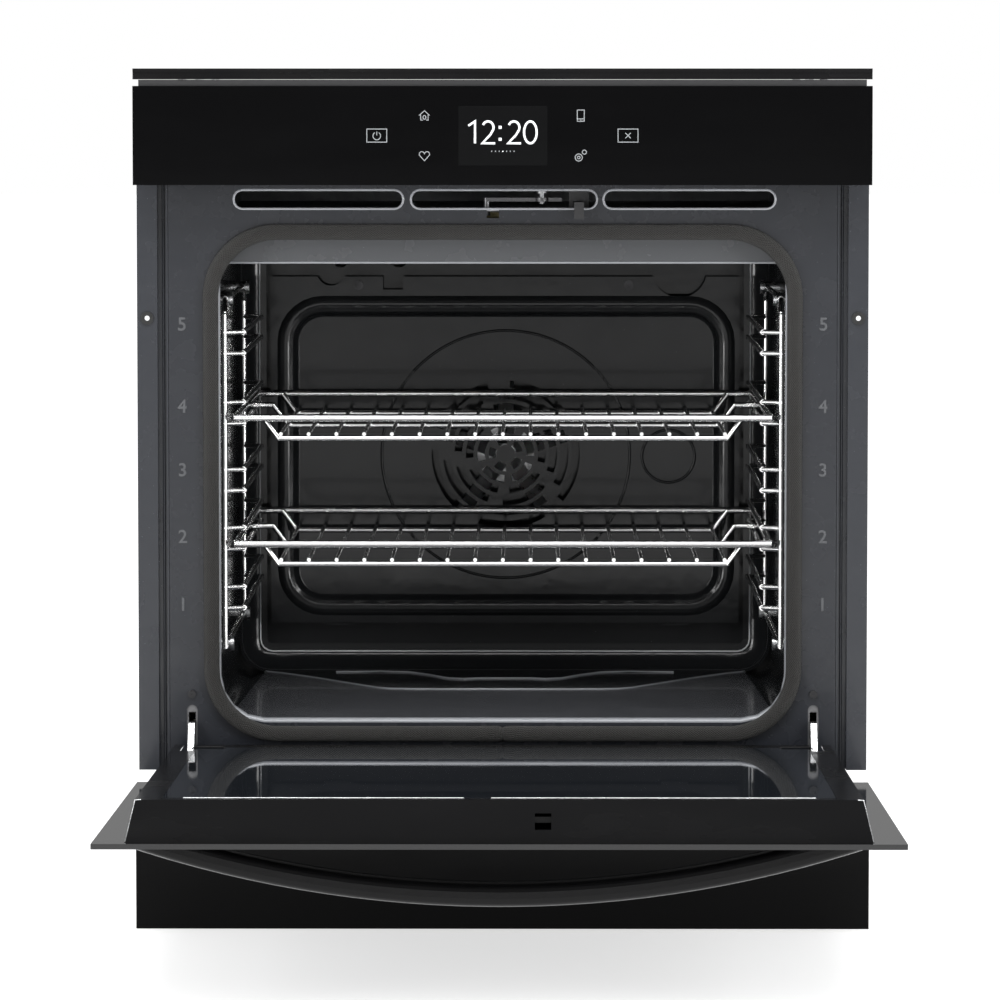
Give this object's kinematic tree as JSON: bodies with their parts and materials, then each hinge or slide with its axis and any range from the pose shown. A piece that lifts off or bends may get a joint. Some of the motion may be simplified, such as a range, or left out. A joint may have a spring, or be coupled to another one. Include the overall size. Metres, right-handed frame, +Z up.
{
  "type": "built-in wall oven",
  "caption": "Built-in electric wall oven with a drop-down glass door and bow handle, black glass touch panel, enamelled cavity, wire racks and a rear convection fan.",
  "frame": {"origin": "middle of the front edge of the seat on the cabinet shelf: X = 0 is the middle of the width, Y = 0 the cabinet face that the side trims seat on, Z = 0 the shelf", "axes": "+X to the right seen from the front, +Y back into the cabinet, +Z up"},
  "size_m": [0.595, 1.0904, 0.697],
  "materials": {
    "casing_zinc": "galvanised sheet",
    "frame_enamel": "glossy speckled enamel",
    "cavity_enamel": "glossy enamel",
    "black_trim": "gloss black paint",
    "black_glass": "back-painted black glass",
    "door_pane": "dark heat-reflecting glass",
    "clear_pane": "clear tempered glass",
    "handle_black": "satin black paint",
    "chrome_wire": "polished plate",
    "bright_steel": "bright zinc plate",
    "fan_steel": "aluminised steel",
    "motor_steel": "bare motor steel",
    "element_alloy": "oxidised sheath",
    "seal_weave": "woven glass fibre over wire",
    "mineral_wool": "mineral wool",
    "black_plastic": "moulded black",
    "circuit_board": "green laminate"
  },
  "bodies": {
    "oven": {"chassis_base": "casing_zinc", "side_panel_left": "casing_zinc", "side_panel_right": "casing_zinc", "rear_panel": "casing_zinc", "top_cover": "casing_zinc", "front_frame": "frame_enamel", "side_trim_left": "frame_enamel", "side_trim_right": "frame_enamel", "mount_grommets": "black_plastic", "frame_screws": "bright_steel", "top_trim": "black_trim", "lower_trim": "black_trim", "control_glass": "black_glass", "control_housing": "black_plastic", "display_module": "black_plastic", "control_board": "circuit_board", "power_board": "circuit_board", "cavity_liner": "cavity_enamel", "insulation": "mineral_wool", "door_gasket": "seal_weave", "fan_cover": "cavity_enamel", "fan_cover_screws": "bright_steel", "ring_element": "element_alloy", "fan_motor": "motor_steel", "broil_element": "element_alloy", "bake_element": "element_alloy", "lamp_housing": "casing_zinc", "lamp_bulb": "clear_pane", "lamp_lens": "clear_pane", "temperature_probe": "bright_steel", "shelf_support_left": "chrome_wire", "shelf_support_right": "chrome_wire", "support_fixings": "bright_steel", "air_duct": "casing_zinc", "blower_housing": "casing_zinc", "blower_motor": "motor_steel", "junction_box": "casing_zinc", "conduit_gland": "bright_steel", "latch_base": "casing_zinc", "door_switch": "black_plastic", "hinge_receivers": "casing_zinc", "hinge_arm_left": "bright_steel", "hinge_arm_right": "bright_steel"},
    "door": {"door_outer_glass": "black_glass", "door_mid_glass": "clear_pane", "door_inner_glass": "door_pane", "door_side_left": "black_trim", "door_side_right": "black_trim", "door_rails": "black_trim", "door_cap": "black_trim", "door_handle": "handle_black", "hinge_bodies": "casing_zinc", "hinge_pins": "bright_steel", "hinge_springs": "bright_steel"},
    "upper_rack": {"rack_upper": "chrome_wire"},
    "lower_rack": {"rack_lower": "chrome_wire"},
    "fan": {"convection_fan": "fan_steel"},
    "blower": {"blower_rotor": "fan_steel"},
    "latch": {"latch_hook": "bright_steel"},
    "plunger": {"switch_plunger": "black_plastic"}
  },
  "joints": [
    {"name": "door_hinge", "type": "hinge", "parent": "oven", "child": "door", "pos_m": [0, -0.036, 0.122], "axis": [-1, 0, 0], "range_deg": [0, 88.2]},
    {"name": "upper_rack_slide", "type": "slide", "parent": "oven", "child": "upper_rack", "axis": [0, 1, 0], "range_m": [-0.3, 0]},
    {"name": "lower_rack_slide", "type": "slide", "parent": "oven", "child": "lower_rack", "axis": [0, 1, 0], "range_m": [-0.3, 0]},
    {"name": "fan_spin", "type": "hinge", "parent": "oven", "child": "fan", "pos_m": [0.0007, 0.43, 0.3566], "axis": [0, 1, 0], "continuous": true},
    {"name": "blower_spin", "type": "hinge", "parent": "oven", "child": "blower", "pos_m": [0, 0.33, 0.645], "axis": [1, 0, 0], "continuous": true},
    {"name": "latch_swing", "type": "hinge", "parent": "oven", "child": "latch", "pos_m": [0.032, 0.02, 0.5905], "axis": [0, 0, 1], "range_deg": [0, 90]},
    {"name": "switch_press", "type": "slide", "parent": "oven", "child": "plunger", "axis": [0, 1, 0], "range_m": [0, 0.0042]}
  ],
  "couplings": [
    {"joint": "switch_press", "follows": "door_hinge", "m_per_rad": 0.0027284}
  ]
}
